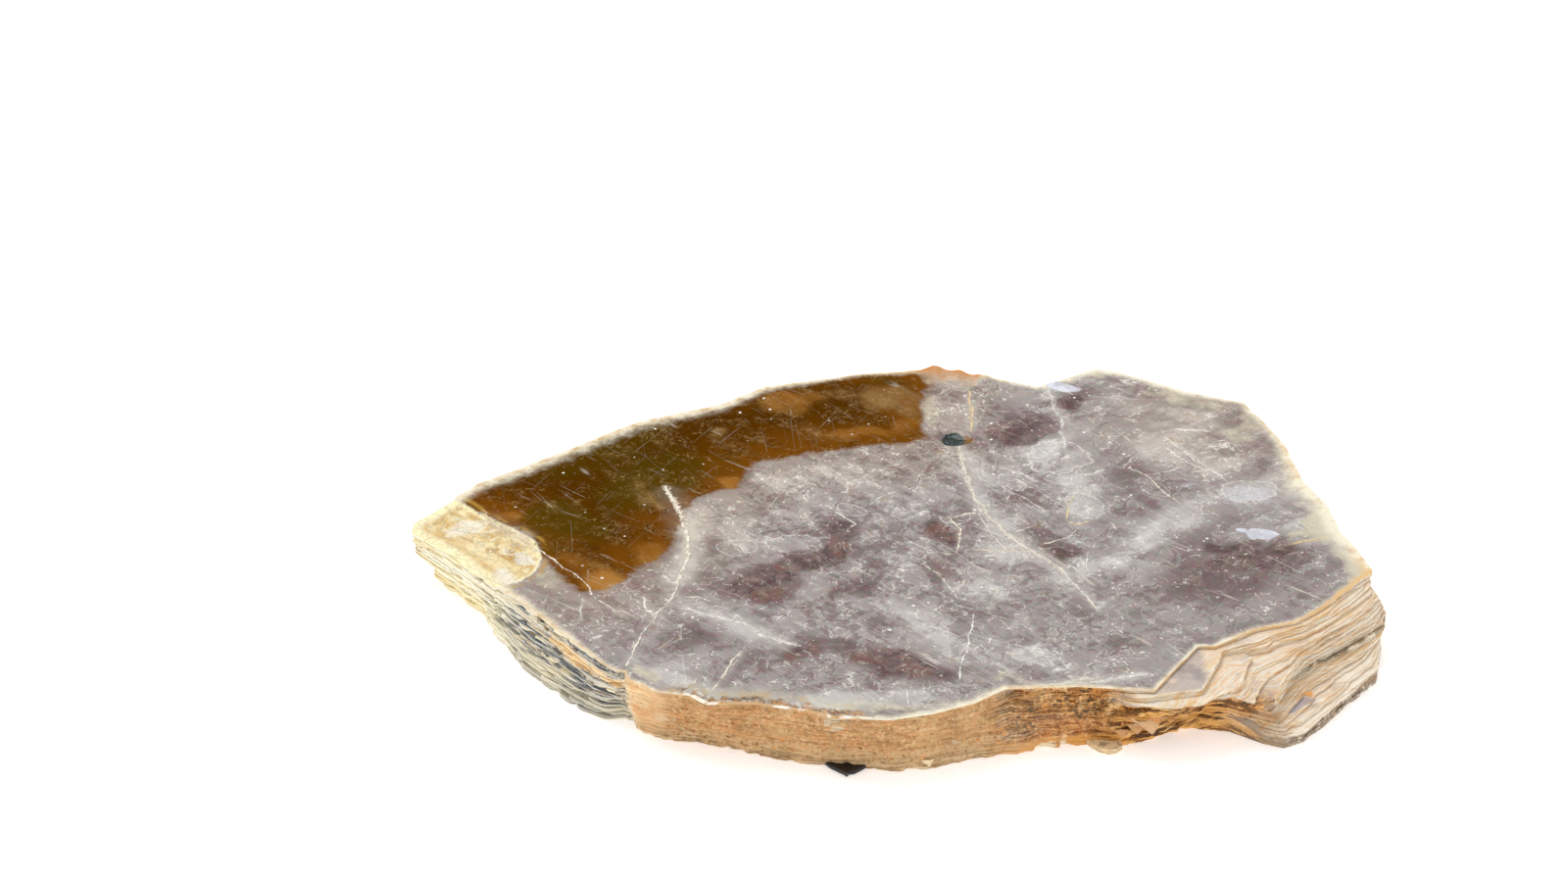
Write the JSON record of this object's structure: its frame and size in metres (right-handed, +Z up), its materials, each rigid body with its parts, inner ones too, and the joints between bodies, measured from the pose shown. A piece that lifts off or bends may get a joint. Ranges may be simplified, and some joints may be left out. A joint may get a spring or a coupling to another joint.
{
  "type": "mica crystal",
  "caption": "Flat, leaf-shaped book of mica: stacked sheets with ragged, layered edges, lying on a cleavage face.",
  "frame": {"origin": "under the middle of the book's box, on the face that it rests on", "axes": "+X along the longest side, from the pointed end to the terraced one; +Y from the thick front edge to the back; +Z up, square to the sheets"},
  "size_m": [0.0954, 0.067, 0.0074],
  "materials": {
    "mica": "glossy cleavage face, lavender grey to amber brown, with matt cream and clay-orange edges"
  },
  "bodies": {
    "root": {"mica_book": "mica"}
  },
  "joints": []
}
